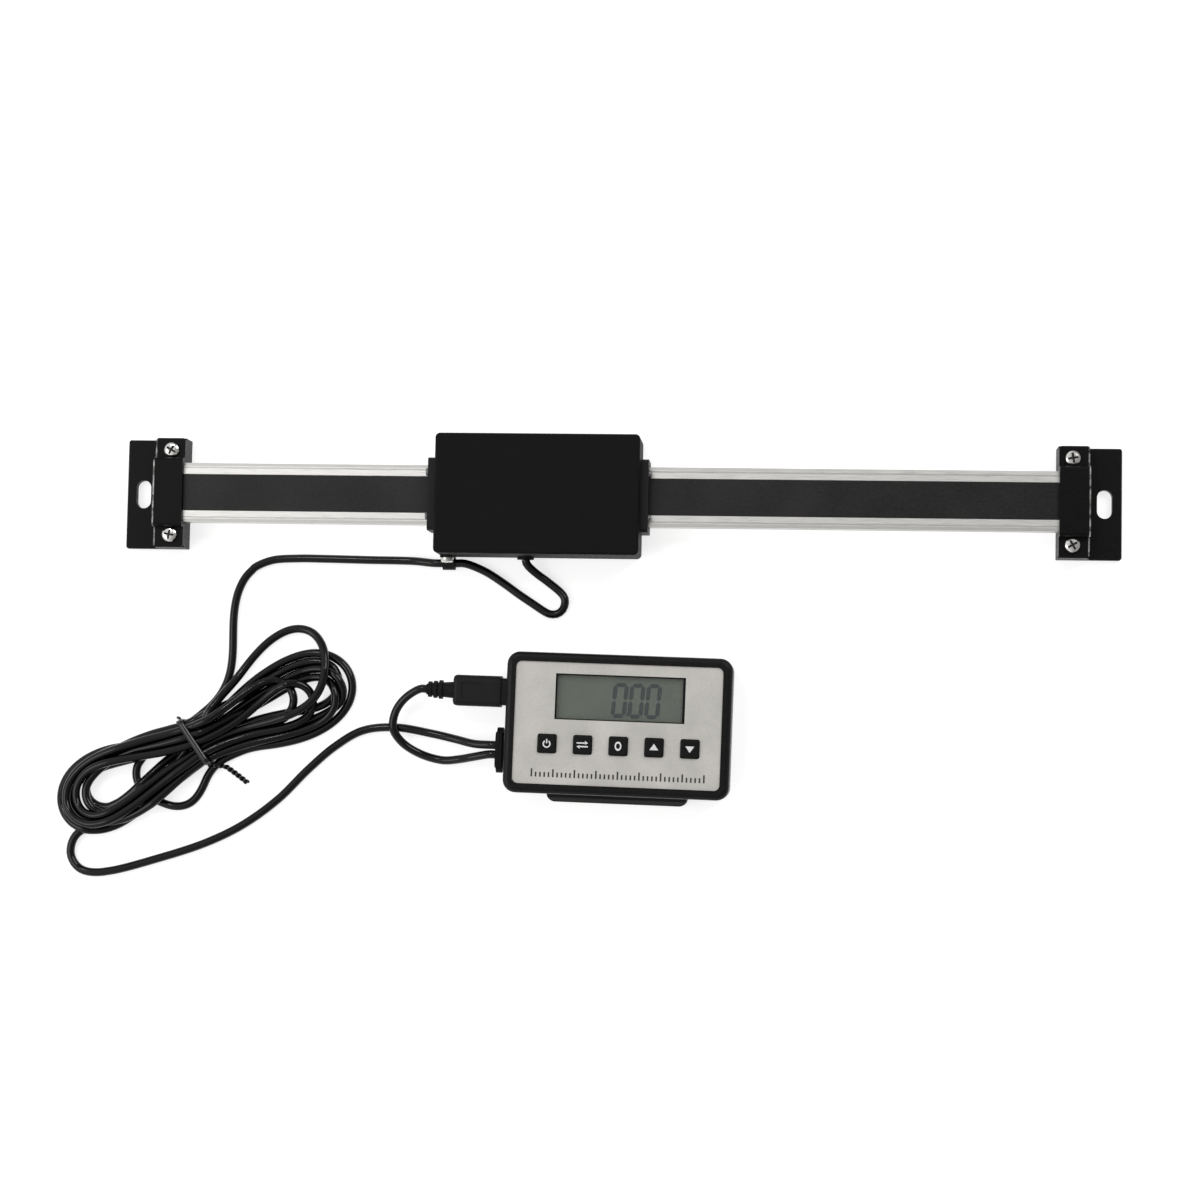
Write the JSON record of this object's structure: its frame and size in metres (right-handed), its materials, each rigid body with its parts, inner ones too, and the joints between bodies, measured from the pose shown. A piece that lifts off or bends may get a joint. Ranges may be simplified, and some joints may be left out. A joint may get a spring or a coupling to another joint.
{
  "type": "linear scale with remote display",
  "caption": "Linear position scale: aluminium beam in two slotted end brackets, sliding reading head, and a small corded remote display with keys.",
  "frame": {"origin": "under the middle of the beam, on the plane that the two end brackets are screwed to", "axes": "+X along the beam, +Y across it away from the display, +Z out of the mounting plane towards the viewer"},
  "size_m": [0.3399, 0.1426, 0.018],
  "materials": {
    "beam": "satin drawn",
    "scale_strip": "matt laminate",
    "strip_film": "semi-gloss film",
    "bracket": "black anodised",
    "clamp": "black satin",
    "bright_screw": "bright plated",
    "dark_screw": "plated steel",
    "head_base": "black, fine grain",
    "head_cover": "matt black",
    "guard": "matt black",
    "wiper": "grey felt",
    "shoe": "natural acetal",
    "spring_steel": "spring steel",
    "circuit_board": "green solder mask",
    "chip": "moulded black",
    "connector": "natural nylon",
    "rubber_fitting": "soft black",
    "clip": "black nylon",
    "cable": "satin black",
    "tie": "black coated wire",
    "plug_body": "fine matt black",
    "plug_metal": "plated sheet",
    "case": "satin black",
    "face_plate": "silver grey",
    "lens": "clear",
    "lcd": "green-grey polariser",
    "lcd_rubber": "banded rubber",
    "key": "matt black",
    "switch": "moulded",
    "cell": "steel can",
    "contact": "plated strip",
    "door": "satin black",
    "magnet": "nickel plated",
    "foot": "satin black"
  },
  "bodies": {
    "readout": {"head_base": "head_base", "head_cover": "head_cover", "cover_screws": "dark_screw", "left_guard": "guard", "right_guard": "guard", "guard_screws": "dark_screw", "left_wiper": "wiper", "right_wiper": "wiper", "guide_shoes": "shoe", "leaf_spring": "spring_steel", "sensor_board": "circuit_board", "board_screws": "dark_screw", "sensor_chip": "chip", "board_connector": "connector", "head_grommet": "rubber_fitting", "cable_clip": "clip", "clip_screw": "bright_screw", "head_lead": "cable", "display_lead": "cable", "plug_lead": "cable", "lead_hank": "cable", "hank_tie": "tie", "plug_body": "plug_body", "plug_relief": "rubber_fitting", "plug_shell": "plug_metal", "display_back": "case", "display_front": "case", "face_plate": "face_plate", "display_lens": "lens", "lcd_glass": "lcd", "lcd_connectors": "lcd_rubber", "display_board": "circuit_board", "key_switches": "switch", "coin_cell": "cell", "cell_contact": "contact", "case_screws": "dark_screw", "usb_socket": "plug_metal", "display_magnets": "magnet", "display_foot": "foot", "foot_screws": "dark_screw", "display_gland": "rubber_fitting"},
    "scale_beam": {"beam": "beam", "scale_strip": "scale_strip", "strip_film": "strip_film", "left_bracket": "bracket", "right_bracket": "bracket", "left_clamp": "clamp", "right_clamp": "clamp", "clamp_screws": "bright_screw"},
    "battery_door": {"battery_door": "door"},
    "key_1": {"key_1": "key"},
    "key_2": {"key_2": "key"},
    "key_3": {"key_3": "key"},
    "key_4": {"key_4": "key"},
    "key_5": {"key_5": "key"}
  },
  "joints": [
    {"name": "beam_slide", "type": "slide", "parent": "readout", "child": "scale_beam", "axis": [1, 0, 0], "range_m": [-0.1244, 0.0756]},
    {"name": "key_1_press", "type": "slide", "parent": "readout", "child": "key_1", "axis": [0, 0, -1], "range_m": [0, 0.0006], "stiffness_N_per_m": 250, "springref_m": -0.0004},
    {"name": "key_2_press", "type": "slide", "parent": "readout", "child": "key_2", "axis": [0, 0, -1], "range_m": [0, 0.0006], "stiffness_N_per_m": 250, "springref_m": -0.0004},
    {"name": "key_3_press", "type": "slide", "parent": "readout", "child": "key_3", "axis": [0, 0, -1], "range_m": [0, 0.0006], "stiffness_N_per_m": 250, "springref_m": -0.0004},
    {"name": "key_4_press", "type": "slide", "parent": "readout", "child": "key_4", "axis": [0, 0, -1], "range_m": [0, 0.0006], "stiffness_N_per_m": 250, "springref_m": -0.0004},
    {"name": "key_5_press", "type": "slide", "parent": "readout", "child": "key_5", "axis": [0, 0, -1], "range_m": [0, 0.0006], "stiffness_N_per_m": 250, "springref_m": -0.0004},
    {"name": "battery_door_slide", "type": "slide", "parent": "readout", "child": "battery_door", "axis": [0.0209, 0.9998, 0], "range_m": [0, 0.024]}
  ]
}
